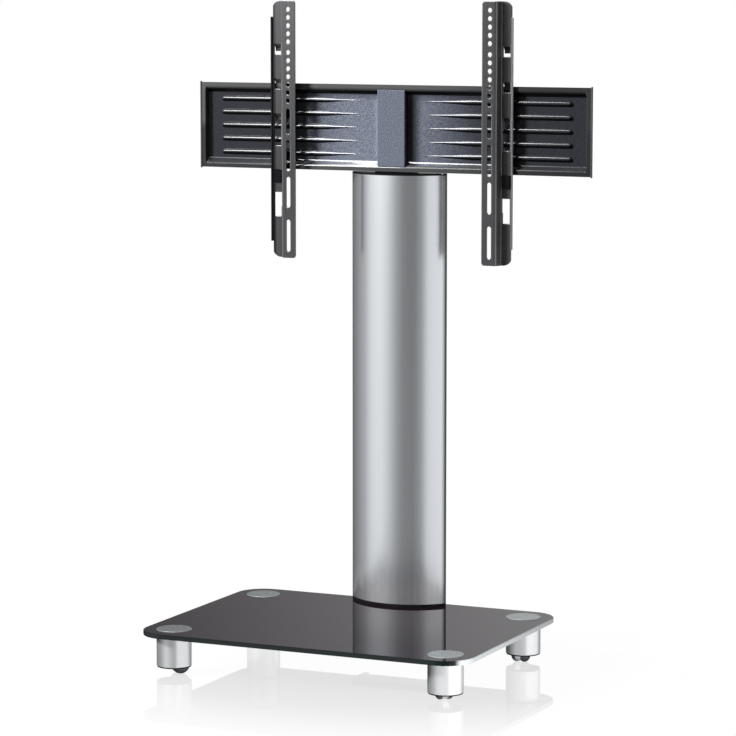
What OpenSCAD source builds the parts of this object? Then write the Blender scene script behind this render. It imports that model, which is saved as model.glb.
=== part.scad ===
// Television floor stand: smoked glass base on four hidden casters, curved aluminium column,
// pressed steel crossbar and two hook-on arms for the screen.
// Millimetres, +Z up, the front faces -Y, the origin lies on the floor under the glass's middle.

/* [Glass base] */
// Width of the glass plate
glass_w = 580; // [520:1:640]
// Depth of the glass plate
glass_d = 426; // [380:1:480]
// Thickness of the glass plate
glass_t = 8; // [6:0.5:10]
// Radius of the glass plate's corners
glass_corner_r = 48; // [20:1:60]
// Height of the glass plate's top over the floor
glass_top = 73; // [71:0.5:84]
// Bevel ground along the glass plate's edges
glass_bevel = 0.8; // [0.3:0.1:1.5]

/* [Feet] */
// Distance from a foot's axis to the glass plate's edges
foot_inset = 49.5; // [45:0.5:60]
// Outer diameter of a foot
foot_d = 57.4; // [56:0.2:64]
// Wall of a foot's hollow lower part
foot_wall = 2.7; // [1.5:0.1:3]
// Gap between the floor and a foot's lower end
foot_lift = 12; // [9:0.5:13]
// Height of the dark ring under a foot
foot_ring_h = 1.5; // [1:0.1:3]
// Chamfer on a foot's lower edge
foot_chamfer = 0.8; // [0.2:0.1:1.5]
// Thickness of the round plate over the glass
disc_t = 0.8; // [0.8:0.1:3]
// Diameter of the threaded stud through the glass
stud_d = 10; // [6:0.5:12]
// Depth that the stud screws into a foot
stud_grip = 7; // [5:0.5:9]

/* [Casters] */
// Diameter of the twin wheels
wheel_d = 30; // [24:0.5:30]
// Width over both wheels
wheel_span = 29; // [22:0.5:29]
// Width of the light body between the wheels
caster_body_w = 10; // [6:0.5:11]
// Distance from the swivel axis to the axle
caster_trail = 9; // [5:0.5:9]
// Diameter of the swivel stem
stem_d = 8; // [5:0.5:9]
// Length of the swivel stem over its collar
stem_l = 17; // [12:0.5:17]
// Diameter of the wheel axle
axle_d = 3; // [2:0.25:4]

/* [Column] */
// Radius of the column's curved front
column_r = 107.7; // [104:0.1:118]
// Half of the angle that the curved front spans
column_half_angle = 52; // [48:1:53]
// Depth of the column's flat sides
column_side_d = 8; // [6:0.5:12]
// Length of the aluminium profile
column_l = 721.5; // [500:0.5:800]
// Wall of the aluminium profile
column_wall = 2.5; // [2:0.1:3]
// Distance from the column's back to the glass plate's back edge
column_back_inset = 12.3; // [8:0.1:20]
// Height of the black collar under the column
plinth_h = 5; // [3:0.5:8]
// Thickness of the black cap on the column
cap_t = 3; // [2:0.5:5]
// Thickness of the panel that closes the column's back
back_panel_t = 2; // [1.5:0.1:3]
// Width of a cable outlet in the back panel
cable_slot_w = 30; // [24:1:34]
// Height of a cable outlet in the back panel
cable_slot_h = 22; // [15:1:23]

/* [Post] */
// Width of the steel post inside the column
post_w = 70; // [60:1:76]
// Depth of the steel post
post_d = 20; // [15:0.5:21]
// Wall of the steel post
post_wall = 2.5; // [2:0.1:3]
// Gap between the post and the back panel
post_back_gap = 3.9; // [2:0.1:5]
// Thickness of the plate that the post is welded to
foot_plate_t = 6; // [4:0.5:8]
// Thickness of the rubber pads on the glass
pad_t = 1.5; // [1:0.1:2]
// Width of the clamp plate under the glass
clamp_w = 150; // [135:1:160]
// Depth of the clamp plate
clamp_d = 44; // [38:1:50]
// Thickness of the clamp plate
clamp_t = 4; // [3:0.5:6]
// Thread diameter of the clamp bolts
clamp_bolt_d = 8; // [6:0.5:8]

/* [Crossbar] */
// Width over the crossbar's end plates
crossbar_w = 711; // [620:1:780]
// Height of the crossbar
crossbar_h = 144; // [140:1:150]
// Width of the flat rim round the crossbar
rim_w = 7.5; // [6:0.5:9]
// Depth of the tray behind the rim's face
tray_depth = 8; // [7:0.5:9]
// Run of the tray's sloping upper and lower walls
tray_slope = 8; // [6:0.5:10]
// Run of the tray's steep walls at its ends
tray_end_slope = 3; // [2:0.5:8]
// Thickness of the tray's sheet
tray_t = 2; // [1.5:0.1:2.2]
// Corner radius of the tray's opening
tray_corner_r = 5; // [2:0.5:8]
// Gap between the column's cap and the crossbar
crossbar_gap = 2.8; // [2.2:0.1:10]
// Thickness of the trim strip on each end of the crossbar
end_plate_t = 2; // [1.5:0.5:4]
// Depth of a trim strip
end_plate_d = 3.5; // [3:0.5:9]
// Distance that a trim strip stands over the rim
end_plate_lip = 1.5; // [1:0.5:3]
// Radius of an embossed rib
rib_r = 4.6; // [3.5:0.1:5]
// Distance between the ribs
rib_pitch = 22.45; // [18:0.05:24]
// Half of the space between the left and the right ribs
rib_start = 72; // [66:1:90]
// Distance from the crossbar's end to the ribs
rib_end_inset = 37.5; // [30:0.5:60]
// Width of the opening in the tray behind the centre cover
tray_window_w = 46; // [45:0.5:47]
// Height of the opening in the tray
tray_window_h = 100; // [90:1:108]

/* [Bracket and cover] */
// Width of the steel bracket behind the tray
bracket_w = 136; // [126:1:140]
// Height of the steel bracket
bracket_h = 118; // [116:1:122]
// Thickness of the steel bracket
bracket_t = 3; // [2:0.5:4]
// Distance between the outer faces of the bracket's flanges
bracket_flange_span = 45; // [44:0.5:45]
// Width of the centre cover
cover_w = 49; // [48:0.5:56]
// Height of the centre cover
cover_h = 127; // [120:0.5:127.5]
// Distance that the centre cover stands in front of the rim
cover_lift = 0.5; // [0:0.1:5]
// Wall of the centre cover
cover_wall = 1.6; // [1:0.1:2.5]
// Thread diameter of the bracket screws
bracket_screw_d = 8; // [6:0.5:8]
// Distance between the bracket screws across
bracket_screw_x = 26; // [22:1:28]
// Distance between the bracket screws upwards
bracket_screw_z = 60; // [40:1:76]

/* [Arms] */
// Height of an arm
arm_h = 431; // [425:1:440]
// Thickness of the arm's sheet
arm_t = 2.5; // [2:0.1:3]
// Distance from the middle to a column of screen holes
arm_x = 182.4; // [182:0.1:190]
// Width of the arm's face from its inner edge to the holes
arm_face_in = 13.2; // [11:0.1:15]
// Width of the arm's face from the holes to its step
arm_face_out = 11.3; // [10:0.1:13]
// Distance that the arm's rear strip lies behind its face
arm_step_d = 13; // [8:0.1:15]
// Width that the step takes up
arm_step_w = 5.4; // [4:0.1:7]
// Width of the arm's rear strip
arm_strip_w = 17; // [16:0.1:20]
// Size of the stiffening lip on the outer edge
arm_lip = 3; // [2.5:0.1:5]
// Distance from the arm's ends to the lip
arm_lip_inset = 27; // [22:0.5:32]
// Inner radius of the arm's bends
arm_bend_r = 1.6; // [1:0.1:2]
// Radius of the arm's outer corners
arm_corner_r = 15; // [8:0.5:17]
// Radius of the arm's inner corners
arm_inner_corner_r = 5; // [2:0.5:8]
// Diameter of the screen holes and width of the slots
hole_d = 7.6; // [6.5:0.1:8.4]
// Distance between the screen holes
hole_pitch = 13.5; // [13:0.1:14]
// Extra distance under the fifth screen hole
hole_group_gap = 4.2; // [0:0.1:6]
// Distance from the arm's top to the first screen hole
hole_top = 14.2; // [12:0.1:16]
// Distance between the hooks
hook_pitch = 58; // [56:0.5:60]
// Width of a hook window
hook_window_w = 12.5; // [11:0.1:13]
// Height of a hook window
hook_window_h = 18.5; // [16:0.1:20]
// Width of a hook
hook_w = 12; // [8:0.1:12]
// Overlap of a hook behind the crossbar's rim
hook_drop = 4.5; // [3:0.1:4.6]

/* [Arm locks] */
// Width of a lock's body
lock_w = 9; // [7:0.1:10]
// Height of a lock's body
lock_h = 12.6; // [10:0.1:13]
// Overlap of a lock behind the crossbar's rim
lock_catch = 3.8; // [2:0.1:4]
// Travel of a lock when it is pulled down
lock_travel = 5; // [4.8:0.1:5]

/* [Hidden] */
$fn = 64;

seat_gap = 0.3;       // between pieces that move on each other
pin_gap = 0.05;       // round a pin or a stem in its hole
cut_over = 1;         // overrun of a cut past the faces that it opens
thin = 0.02;          // slab that a tapering wall starts from
steps_per_bend = 4;   // flat strips that make up a bend

glass_bottom = glass_top - glass_t;
foot_x = glass_w / 2 - foot_inset;
foot_y = glass_d / 2 - foot_inset;
foot_places = [[-foot_x, -foot_y], [foot_x, -foot_y], [-foot_x, foot_y], [foot_x, foot_y]];
foot_bore_r = foot_d / 2 - foot_wall;
stud_hole_d = stud_d + 2 * pin_gap;
glass_hole_d = stud_d + 2 * seat_gap + cut_over;
// swivel angle of each caster as it was left, measured from +X
caster_turns = [42, 128, 160, -92];

wheel_r = wheel_d / 2;
caster_gap = seat_gap;
caster_disc_r = wheel_r - caster_gap * 4;
collar_t = stem_d * 0.4;
collar_z = wheel_d + caster_gap * 10;
foot_ceiling = collar_z + collar_t + seat_gap;
stem_r = stem_d / 2;

// the column's outline: an arc in front, flat sides and a flat back
column_back_y = glass_d / 2 - column_back_inset;
column_half_w = column_r * sin(column_half_angle);
column_arc_y = column_back_y - column_side_d + column_r * cos(column_half_angle);
column_z = glass_top + plinth_h;
cap_z = column_z + column_l;
plinth_wall = column_wall + cut_over;
channel_d = column_wall * 1.6;
channel_wall = column_wall * 0.7;
channel_x = column_half_w - column_wall - channel_d / 2 - channel_wall;
channel_y = column_back_y - column_side_d * 1.25;
panel_lip_w = column_wall * 2;
inner_plate_half_w = channel_x - channel_d / 2 - channel_wall - seat_gap;
cable_slot_x = (post_w / 2 + channel_x) / 2;

post_y = column_back_y - back_panel_t - post_back_gap - post_d / 2;
post_z = glass_top + pad_t + foot_plate_t;
plate_gap = seat_gap * 3;
clamp_bolt_out_x = clamp_w / 2 - clamp_bolt_d * 2;
clamp_hole_d = clamp_bolt_d + cut_over;
clamp_head_h = clamp_bolt_d * 0.65;
clamp_head_d = clamp_bolt_d * 1.6;

// the crossbar stands in front of the post
bracket_back_y = post_y - post_d / 2;
bracket_front_y = bracket_back_y - bracket_t;
floor_y = bracket_front_y - tray_t;
rim_y = floor_y - tray_depth;
crossbar_z = cap_z + cap_t + crossbar_gap + crossbar_h / 2;
rim_top = crossbar_z + crossbar_h / 2;
rim_bottom = crossbar_z - crossbar_h / 2;
tray_w = crossbar_w - 2 * end_plate_t;
opening_w = tray_w - 2 * rim_w;
opening_h = crossbar_h - 2 * rim_w;
slope_share = tray_slope / tray_depth;
wall_run = tray_t * sqrt(1 + slope_share * slope_share);
rib_count = 5;
rib_zs = [for (i = [0 : rib_count - 1]) crossbar_z + (i - (rib_count - 1) / 2) * rib_pitch];
rib_axis_y = floor_y + rib_r * 0.13;
rib_end = crossbar_w / 2 - rib_end_inset;
rib_taper = (rib_end - rib_start) * 0.26;
rib_tip_r = rib_r * 0.2;
post_top = crossbar_z + bracket_h / 2;
rivet_d = bracket_t * 1.6;
rivet_x = bracket_w / 2 - rivet_d * 1.5;
rivet_z = bracket_h / 2 - rivet_d * 3;

cover_front_y = rim_y - cover_lift;
screw_head_d = bracket_screw_d * 1.6;
screw_head_h = bracket_screw_d * 0.5;

arm_strip_back_y = rim_y - seat_gap;
arm_strip_y = arm_strip_back_y - arm_t;
arm_face_y = arm_strip_y - arm_step_d;
arm_in_x = arm_x - arm_face_in;
arm_bend_x = arm_x + arm_face_out;
arm_strip_in_x = arm_bend_x + arm_step_w;
arm_strip_out_x = arm_strip_in_x + arm_strip_w;
arm_out_x = arm_strip_out_x + arm_lip;
hook_z = rim_top + hook_window_h * 0.47;
arm_top = hook_z + hook_pitch * 2.23;
arm_bottom = arm_top - arm_h;
hole_z = arm_top - hole_top;
hole_zs = [for (i = [0 : 11]) hole_z - i * hole_pitch - (i > 4 ? hole_group_gap : 0)];
// upper and lower end of each slot, as shares of the arm's height under the first hole
slot_shares = [[0.385, 0.484], [0.507, 0.627], [0.650, 0.770], [0.817, 0.942]];
hook_x = arm_strip_in_x + arm_strip_w / 2;
hook_zs = [for (i = [-1, 0, 1]) hook_z - i * hook_pitch];
hook_y = rim_y + tray_t + seat_gap;
hook_rise = hook_z - rim_top - seat_gap;
lower_window_h = hook_window_h * 3;
lock_window_h = lock_h + lock_travel + cut_over * 2 + seat_gap;
lock_top = rim_bottom - cut_over;
lock_flange_t = arm_t * 0.8;
lock_flange_over = arm_t * 0.7;
open_window_z = rim_bottom - arm_h * 0.091;
open_window_h = arm_h * 0.094;

// unit vector along v, and the vector to its left
function unit(v) = v / norm(v);
function to_left(v) = [-v[1], v[0]];

// point i of the path p, moved sideways by d with a mitred corner
function mitred(p, i, d) =
    let (last = len(p) - 1,
         before = i > 0 ? unit(p[i] - p[i - 1]) : unit(p[1] - p[0]),
         after = i < last ? unit(p[i + 1] - p[i]) : before,
         middle = (to_left(before) + to_left(after)) / 2)
    p[i] + d * middle / (middle * middle);

// closed outline of a sheet of thickness t whose front follows the path p
function sheet_outline(p, t) = concat(p, [for (i = [len(p) - 1 : -1 : 0]) mitred(p, i, t)]);

// points that round corner b between a and c with radius r
function bend(a, b, c, r) =
    let (u = unit(a - b), v = unit(c - b),
         half = acos(u * v) / 2,
         centre = b + unit(u + v) * r / sin(half),
         from = b + u * r / tan(half) - centre,
         to = b + v * r / tan(half) - centre,
         start = atan2(from[1], from[0]),
         turn = atan2(to[1], to[0]) - start,
         sweep = turn > 180 ? turn - 360 : turn < -180 ? turn + 360 : turn)
    [for (i = [0 : steps_per_bend])
        centre + r * [cos(start + sweep * i / steps_per_bend), sin(start + sweep * i / steps_per_bend)]];

// box centred on x, from y0 to y1 and from z0 to z1
module slab(w, y0, y1, z0, z1, x = 0) {
    translate([x - w / 2, y0, z0]) cube([w, y1 - y0, z1 - z0]);
}

// flat shape drawn in X and Z, standing from y0 back to y1
module upright(y0, y1) {
    translate([0, y1, 0]) rotate([90, 0, 0]) linear_extrude(y1 - y0) children();
}

// round bar along Y from y0 to y1
module bar_y(d, y0, y1, x, z) {
    translate([x, y0, z]) rotate([-90, 0, 0]) cylinder(d = d, h = y1 - y0);
}

// rectangle with round corners, made of true arcs
module round_rect(w, h, r) {
    square([w - 2 * r, h], center = true);
    square([w, h - 2 * r], center = true);
    for (x = [-1, 1], y = [-1, 1]) translate([x * (w / 2 - r), y * (h / 2 - r)]) circle(r);
}

// the column's D-shaped outline, drawn in by inset and extruded from z0 to z1
module column_shape(inset, z0, z1) {
    intersection() {
        translate([0, column_arc_y, z0]) cylinder(r = column_r - inset, h = z1 - z0, $fn = 128);
        slab((column_half_w - inset) * 2, column_arc_y - column_r, column_back_y - inset, z0, z1);
    }
}

module base_glass() {
    color([0.10, 0.12, 0.12, 0.85]) difference() {
        union() {
            translate([0, 0, glass_bottom + glass_bevel])
                linear_extrude(glass_t - 2 * glass_bevel) round_rect(glass_w, glass_d, glass_corner_r);
            translate([0, 0, glass_bottom])
                linear_extrude(glass_t)
                    round_rect(glass_w - 2 * glass_bevel, glass_d - 2 * glass_bevel,
                               glass_corner_r - glass_bevel);
        }
        for (p = foot_places)
            translate([p[0], p[1], glass_bottom - cut_over])
                cylinder(d = glass_hole_d, h = glass_t + 2 * cut_over);
        clamp_places() translate([0, 0, glass_bottom - cut_over])
            cylinder(d = clamp_bolt_d + 4 * cut_over, h = glass_t + 2 * cut_over);
    }
}

module foot_disc(i) {
    color("silver") translate([foot_places[i][0], foot_places[i][1], 0]) {
        translate([0, 0, glass_top]) cylinder(d = foot_d, h = disc_t * 0.6);
        translate([0, 0, glass_top + disc_t * 0.6])
            cylinder(d1 = foot_d, d2 = foot_d - disc_t * 0.8, h = disc_t * 0.4);
        translate([0, 0, glass_bottom - stud_grip]) cylinder(d = stud_d, h = glass_t + stud_grip + disc_t / 2);
    }
}

module foot_sleeve(i) {
    bottom = foot_lift + foot_ring_h;
    color("gainsboro") translate([foot_places[i][0], foot_places[i][1], 0]) difference() {
        rotate_extrude($fn = 96) polygon([
            [0, bottom], [foot_d / 2 - foot_chamfer, bottom], [foot_d / 2, bottom + foot_chamfer],
            [foot_d / 2, glass_bottom], [0, glass_bottom]]);
        translate([0, 0, bottom - cut_over])
            cylinder(r = foot_bore_r, h = foot_ceiling - bottom + cut_over);
        translate([0, 0, foot_ceiling - cut_over])
            cylinder(d = stem_d + 2 * pin_gap, h = stem_l + cut_over + seat_gap);
        translate([0, 0, glass_bottom - stud_grip - seat_gap])
            cylinder(d = stud_hole_d, h = stud_grip + cut_over);
    }
}

module foot_ring(i) {
    color("black") translate([foot_places[i][0], foot_places[i][1], foot_lift]) difference() {
        cylinder(r = foot_d / 2 - foot_chamfer, h = foot_ring_h);
        translate([0, 0, -cut_over]) cylinder(r = foot_bore_r, h = foot_ring_h + 2 * cut_over);
    }
}

// places its children at caster i, with the trail along +X
module at_caster(i) {
    translate([foot_places[i][0], foot_places[i][1], 0]) rotate([0, 0, caster_turns[i]]) children();
}

module caster_body(i) {
    color("lightgray") at_caster(i) difference() {
        union() {
            bar_y(caster_disc_r * 2, -caster_body_w / 2, caster_body_w / 2, caster_trail, wheel_r);
            slab(caster_trail * 1.5, -caster_body_w / 2, caster_body_w / 2, wheel_r, collar_z + collar_t / 2,
                 caster_trail * 0.25);
            translate([0, 0, collar_z]) cylinder(r = stem_d * 1.2, h = collar_t);
            translate([0, 0, collar_z]) cylinder(r = stem_r, h = collar_t + stem_l);
        }
        bar_y(axle_d + 2 * pin_gap, -wheel_span, wheel_span, caster_trail, wheel_r);
    }
}

// one domed wheel, turned about its axle, from the body outwards
module domed_wheel() {
    inner = caster_body_w / 2 + caster_gap;
    outer = wheel_span / 2;
    dome = outer - inner;
    steps = 6;
    face_r = wheel_r * 0.42;
    tread = dome * 0.25;
    rotate_extrude($fn = 64) polygon(concat(
        [[axle_d / 2 + pin_gap, inner], [wheel_r, inner]],
        [for (k = [0 : steps])
            [face_r + (wheel_r - face_r) * cos(90 * k / steps),
             inner + tread + (dome - tread) * sin(90 * k / steps)]],
        [[face_r * 0.85, outer - dome * 0.12], [axle_d / 2 + pin_gap, outer - dome * 0.12]]));
}

// wheel of caster i on the given side of its body
module caster_wheel(i, side) {
    color("dimgray") at_caster(i) translate([caster_trail, 0, wheel_r]) rotate([90 * side, 0, 0]) domed_wheel();
}

module caster_axle(i) {
    half = wheel_span / 2 - (wheel_span - caster_body_w) * 0.08;
    color("silver") at_caster(i) bar_y(axle_d, -half, half, caster_trail, wheel_r);
}

// self-tapping screw channels in the column's rear corners
module channel_bars(d, z0, z1) {
    for (x = [-1, 1]) translate([x * channel_x, channel_y, z0]) cylinder(d = d, h = z1 - z0, $fn = 32);
}

module column_profile() {
    top = column_z + column_l;
    opening_half = column_half_w - column_wall - panel_lip_w;
    color([0.72, 0.74, 0.76]) difference() {
        union() {
            difference() {
                column_shape(0, column_z, top);
                column_shape(column_wall, column_z - cut_over, top + cut_over);
                slab(2 * (column_half_w - column_wall), column_back_y - column_wall - cut_over,
                     column_back_y + cut_over, column_z - cut_over, top + cut_over);
            }
            intersection() {
                column_shape(0, column_z, top);
                union() {
                    channel_bars(channel_d + 2 * channel_wall, column_z, top);
                    for (x = [-1, 1])
                        slab(panel_lip_w + column_wall, column_back_y - back_panel_t - column_wall - seat_gap,
                             column_back_y - back_panel_t - seat_gap, column_z, top,
                             x * (opening_half + (panel_lip_w + column_wall) / 2));
                }
            }
        }
        channel_bars(channel_d, column_z - cut_over, top + cut_over);
    }
}

module column_back_panel() {
    w = 2 * (column_half_w - column_wall - seat_gap);
    z0 = column_z + seat_gap;
    z1 = cap_z - seat_gap;
    color([0.08, 0.08, 0.09]) difference() {
        union() {
            slab(w, column_back_y - back_panel_t, column_back_y, z0, z1);
            // ribs that stiffen the panel
            for (x = [-1, 1])
                slab(back_panel_t, column_back_y - back_panel_t * 2.2, column_back_y - back_panel_t / 2,
                     z0 + cable_slot_h * 2, z1 - cable_slot_h * 2, x * cable_slot_x);
        }
        for (x = [-1, 1], z = [z0 + cable_slot_h, z1 - cable_slot_h])
            translate([x * cable_slot_x, 0, z])
                upright(column_back_y - back_panel_t - cut_over, column_back_y + cut_over)
                    round_rect(cable_slot_w, cable_slot_h, cable_slot_h / 2 - seat_gap);
    }
}

module column_plinth() {
    color([0.05, 0.05, 0.05]) difference() {
        column_shape(0, glass_top, column_z);
        column_shape(plinth_wall, glass_top - cut_over, column_z + cut_over);
    }
}

module column_cap() {
    color([0.05, 0.05, 0.05]) difference() {
        column_shape(0, cap_z, cap_z + cap_t);
        slab(post_w + 2 * seat_gap, post_y - post_d / 2 - seat_gap, post_y + post_d / 2 + seat_gap,
             cap_z - cut_over, cap_z + cap_t + cut_over);
        for (x = [-1, 1]) translate([x * channel_x, channel_y, cap_z - cut_over])
            cylinder(d = channel_d + 2 * pin_gap, h = cap_t + 2 * cut_over, $fn = 32);
        for (x = [-1, 1]) translate([x * channel_x, channel_y, cap_z + cap_t / 2])
            cylinder(d = channel_d * 2, h = cap_t, $fn = 32);
    }
}

module cap_screws() {
    color("dimgray") for (x = [-1, 1]) translate([x * channel_x, channel_y, 0]) difference() {
        union() {
            translate([0, 0, cap_z - channel_d * 3])
                cylinder(d = channel_d - 2 * pin_gap, h = channel_d * 3 + cap_t * 0.6, $fn = 32);
            translate([0, 0, cap_z + cap_t / 2]) cylinder(d = channel_d * 1.8, h = cap_t * 0.4, $fn = 32);
        }
        translate([0, 0, cap_z + cap_t * 0.6]) cylinder(d = channel_d * 0.8, h = cap_t, $fn = 6);
    }
}

// D-shaped plate inside the column, between its screw channels
module inner_plate(z0, z1) {
    intersection() {
        column_shape(plinth_wall + plate_gap, z0, z1);
        slab(2 * inner_plate_half_w, column_arc_y - column_r, column_back_y, z0 - cut_over, z1 + cut_over);
    }
}

// places its children at the four clamp bolts
module clamp_places() {
    for (x = [-1, 1], y = [-1, 1])
        translate([x * (clamp_bolt_out_x - (1 - y) * clamp_bolt_d * 0.9), post_y + y * clamp_bolt_d * 0.75, 0])
            children();
}

module steel_post() {
    color([0.2, 0.2, 0.22]) difference() {
        slab(post_w, post_y - post_d / 2, post_y + post_d / 2, post_z, post_top);
        slab(post_w - 2 * post_wall, post_y - post_d / 2 + post_wall, post_y + post_d / 2 - post_wall,
             post_z - cut_over, post_top + cut_over);
        bracket_screw_places() bar_y(bracket_screw_d + 2 * pin_gap, bracket_back_y - cut_over,
                                     bracket_back_y + post_wall + cut_over, 0, 0);
    }
}

module post_foot_plate() {
    color([0.2, 0.2, 0.22]) difference() {
        inner_plate(glass_top + pad_t, post_z);
        clamp_places() translate([0, 0, glass_top])
            cylinder(d = clamp_bolt_d + 2 * pin_gap, h = foot_plate_t + pad_t + cut_over, $fn = 32);
    }
}

module post_plug() {
    color([0.05, 0.05, 0.05]) {
        slab(post_w, post_y - post_d / 2, post_y + post_d / 2, post_top, post_top + post_wall);
        slab(post_w - 2 * post_wall - 2 * seat_gap, post_y - post_d / 2 + post_wall + seat_gap,
             post_y + post_d / 2 - post_wall - seat_gap, post_top - post_d / 2, post_top + post_wall / 2);
    }
}

module glass_pad() {
    color([0.04, 0.04, 0.04]) difference() {
        inner_plate(glass_top, glass_top + pad_t);
        clamp_places() translate([0, 0, glass_top - cut_over])
            cylinder(d = clamp_hole_d, h = pad_t + 2 * cut_over, $fn = 32);
    }
}

module clamp_layer(z0, z1) {
    difference() {
        translate([0, post_y, z0]) linear_extrude(z1 - z0) round_rect(clamp_w, clamp_d, clamp_bolt_d);
        clamp_places() translate([0, 0, z0 - cut_over])
            cylinder(d = clamp_hole_d, h = z1 - z0 + 2 * cut_over, $fn = 32);
    }
}

module clamp_pad() {
    color([0.04, 0.04, 0.04]) clamp_layer(glass_bottom - pad_t, glass_bottom);
}

module clamp_plate() {
    color([0.1, 0.1, 0.1]) clamp_layer(glass_bottom - pad_t - clamp_t, glass_bottom - pad_t);
}

module clamp_bolts() {
    seat = glass_bottom - pad_t - clamp_t;
    color("gray") clamp_places() {
        translate([0, 0, seat - clamp_head_h]) cylinder(d = clamp_head_d, h = clamp_head_h, $fn = 6);
        translate([0, 0, seat - clamp_head_h / 2])
            cylinder(d = clamp_bolt_d, h = post_z - seat + clamp_head_h / 2 - seat_gap, $fn = 32);
    }
}

// tray opening at depth y behind the rim's face, as a thin slab, grown by g
module tray_section(y, g) {
    run = (y - rim_y) * slope_share;
    end_run = (y - rim_y) * tray_end_slope / tray_depth;
    translate([0, 0, crossbar_z]) upright(y, y + thin)
        round_rect(opening_w + 2 * g - 2 * end_run, opening_h + 2 * g - 2 * run, tray_corner_r + g, $fn = 24);
}

// ribs along X: round bar, tapering towards the middle, of radius r less than full by cut
module rib(r, z) {
    for (side = [-1, 1]) translate([0, rib_axis_y, z]) rotate([0, 90 * side, 0]) {
        translate([0, 0, rib_start + rib_taper])
            cylinder(r = r, h = rib_end - rib_start - rib_taper - rib_r, $fn = 32);
        translate([0, 0, rib_start]) cylinder(r1 = rib_tip_r * r / rib_r, r2 = r, h = rib_taper, $fn = 32);
        translate([0, 0, rib_end - rib_r]) sphere(r, $fn = 32);
    }
}

module crossbar_tray() {
    color([0.22, 0.23, 0.26]) difference() {
        union() {
            // flat rim
            difference() {
                translate([0, 0, crossbar_z]) upright(rim_y, rim_y + tray_t)
                    square([tray_w, crossbar_h], center = true);
                hull() {
                    tray_section(rim_y - cut_over, 0);
                    tray_section(rim_y + tray_t + cut_over, 0);
                }
            }
            // sloping walls and floor
            difference() {
                hull() {
                    tray_section(rim_y, wall_run);
                    tray_section(floor_y + tray_t - thin, wall_run);
                }
                hull() {
                    tray_section(rim_y - cut_over, 0);
                    tray_section(floor_y - thin, 0);
                }
            }
            // ribs pressed out of the floor
            intersection() {
                for (z = rib_zs) rib(rib_r, z);
                slab(crossbar_w, rim_y, floor_y + tray_t / 2, rim_bottom, rim_top);
            }
        }
        for (z = rib_zs) rib(rib_r - tray_t, z);
        translate([0, 0, crossbar_z]) upright(floor_y - cut_over, floor_y + tray_t + cut_over)
            round_rect(tray_window_w, tray_window_h, tray_corner_r);
        rivet_places() bar_y(rivet_d + 2 * pin_gap, floor_y - cut_over, bracket_front_y + cut_over, 0, 0);
    }
}

module end_plate(side) {
    color([0.12, 0.12, 0.14]) translate([side * (crossbar_w - end_plate_t) / 2, 0, crossbar_z])
        difference() {
            translate([-end_plate_t / 2, rim_y - end_plate_lip / 2, -crossbar_h / 2 - end_plate_lip])
                cube([end_plate_t, end_plate_d, crossbar_h + 2 * end_plate_lip]);
            for (z = [-1, 1])
                translate([0, rim_y - end_plate_lip / 2 + end_plate_d, z * (crossbar_h / 2 + end_plate_lip)])
                    rotate([45, 0, 0]) cube([2 * end_plate_t, end_plate_lip, end_plate_lip], center = true);
        }
}

module tray_bracket() {
    z0 = crossbar_z - bracket_h / 2;
    color([0.1, 0.1, 0.12]) difference() {
        union() {
            slab(bracket_w, bracket_front_y, bracket_back_y, z0, z0 + bracket_h);
            for (x = [-1, 1])
                slab(bracket_t / 2, floor_y - tray_depth / 2, bracket_front_y + bracket_t / 2,
                     crossbar_z - tray_window_h / 2 + tray_t, crossbar_z + tray_window_h / 2 - tray_t,
                     x * (bracket_flange_span - bracket_t / 2) / 2);
        }
        bracket_screw_places() bar_y(bracket_screw_d + 2 * seat_gap, bracket_front_y - cut_over,
                                     bracket_back_y + cut_over, 0, 0);
        rivet_places() bar_y(rivet_d + 2 * pin_gap, bracket_front_y - cut_over, bracket_back_y + cut_over, 0, 0);
    }
}

// places its children at the four bracket screws
module bracket_screw_places() {
    for (x = [-1, 1], z = [-1, 1])
        translate([x * bracket_screw_x / 2, 0, crossbar_z + z * bracket_screw_z / 2]) children();
}

module bracket_screws() {
    color("gray") bracket_screw_places() difference() {
        union() {
            bar_y(screw_head_d, bracket_front_y - screw_head_h, bracket_front_y, 0, 0);
            bar_y(bracket_screw_d, bracket_front_y - screw_head_h / 2, bracket_back_y + post_wall * 3, 0, 0);
        }
        translate([0, bracket_front_y - screw_head_h - cut_over, 0]) rotate([-90, 0, 0])
            cylinder(d = bracket_screw_d * 0.65, h = screw_head_h * 0.6 + cut_over, $fn = 6);
    }
}

// places its children at the rivets between tray and bracket
module rivet_places() {
    for (x = [-1, 1], z = [-1, 1]) translate([x * rivet_x, 0, crossbar_z + z * rivet_z]) children();
}

module tray_rivets() {
    head = rivet_d * 0.3;
    color("dimgray") rivet_places() {
        bar_y(rivet_d, floor_y - head / 2, bracket_back_y + head / 2, 0, 0);
        bar_y(rivet_d * 1.7, floor_y - head, floor_y, 0, 0);
        bar_y(rivet_d * 1.7, bracket_back_y, bracket_back_y + head, 0, 0);
    }
}

// centre cover's block, its ends sloping with the tray's walls, drawn in by inset all round but open at the back
module cover_shape(inset, w) {
    front = cover_front_y + inset;
    back = floor_y - seat_gap + inset;
    half = cover_h / 2 - inset * (slope_share + sqrt(1 + slope_share * slope_share));
    run = (back - front) * slope_share;
    translate([-w / 2, 0, crossbar_z]) rotate([90, 0, 90]) linear_extrude(w)
        polygon([[front, -half], [back, run - half], [back, half - run], [front, half]]);
}

module centre_cover() {
    color([0.36, 0.38, 0.44]) difference() {
        cover_shape(0, cover_w);
        cover_shape(cover_wall, cover_w - 2 * cover_wall);
    }
}

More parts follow.
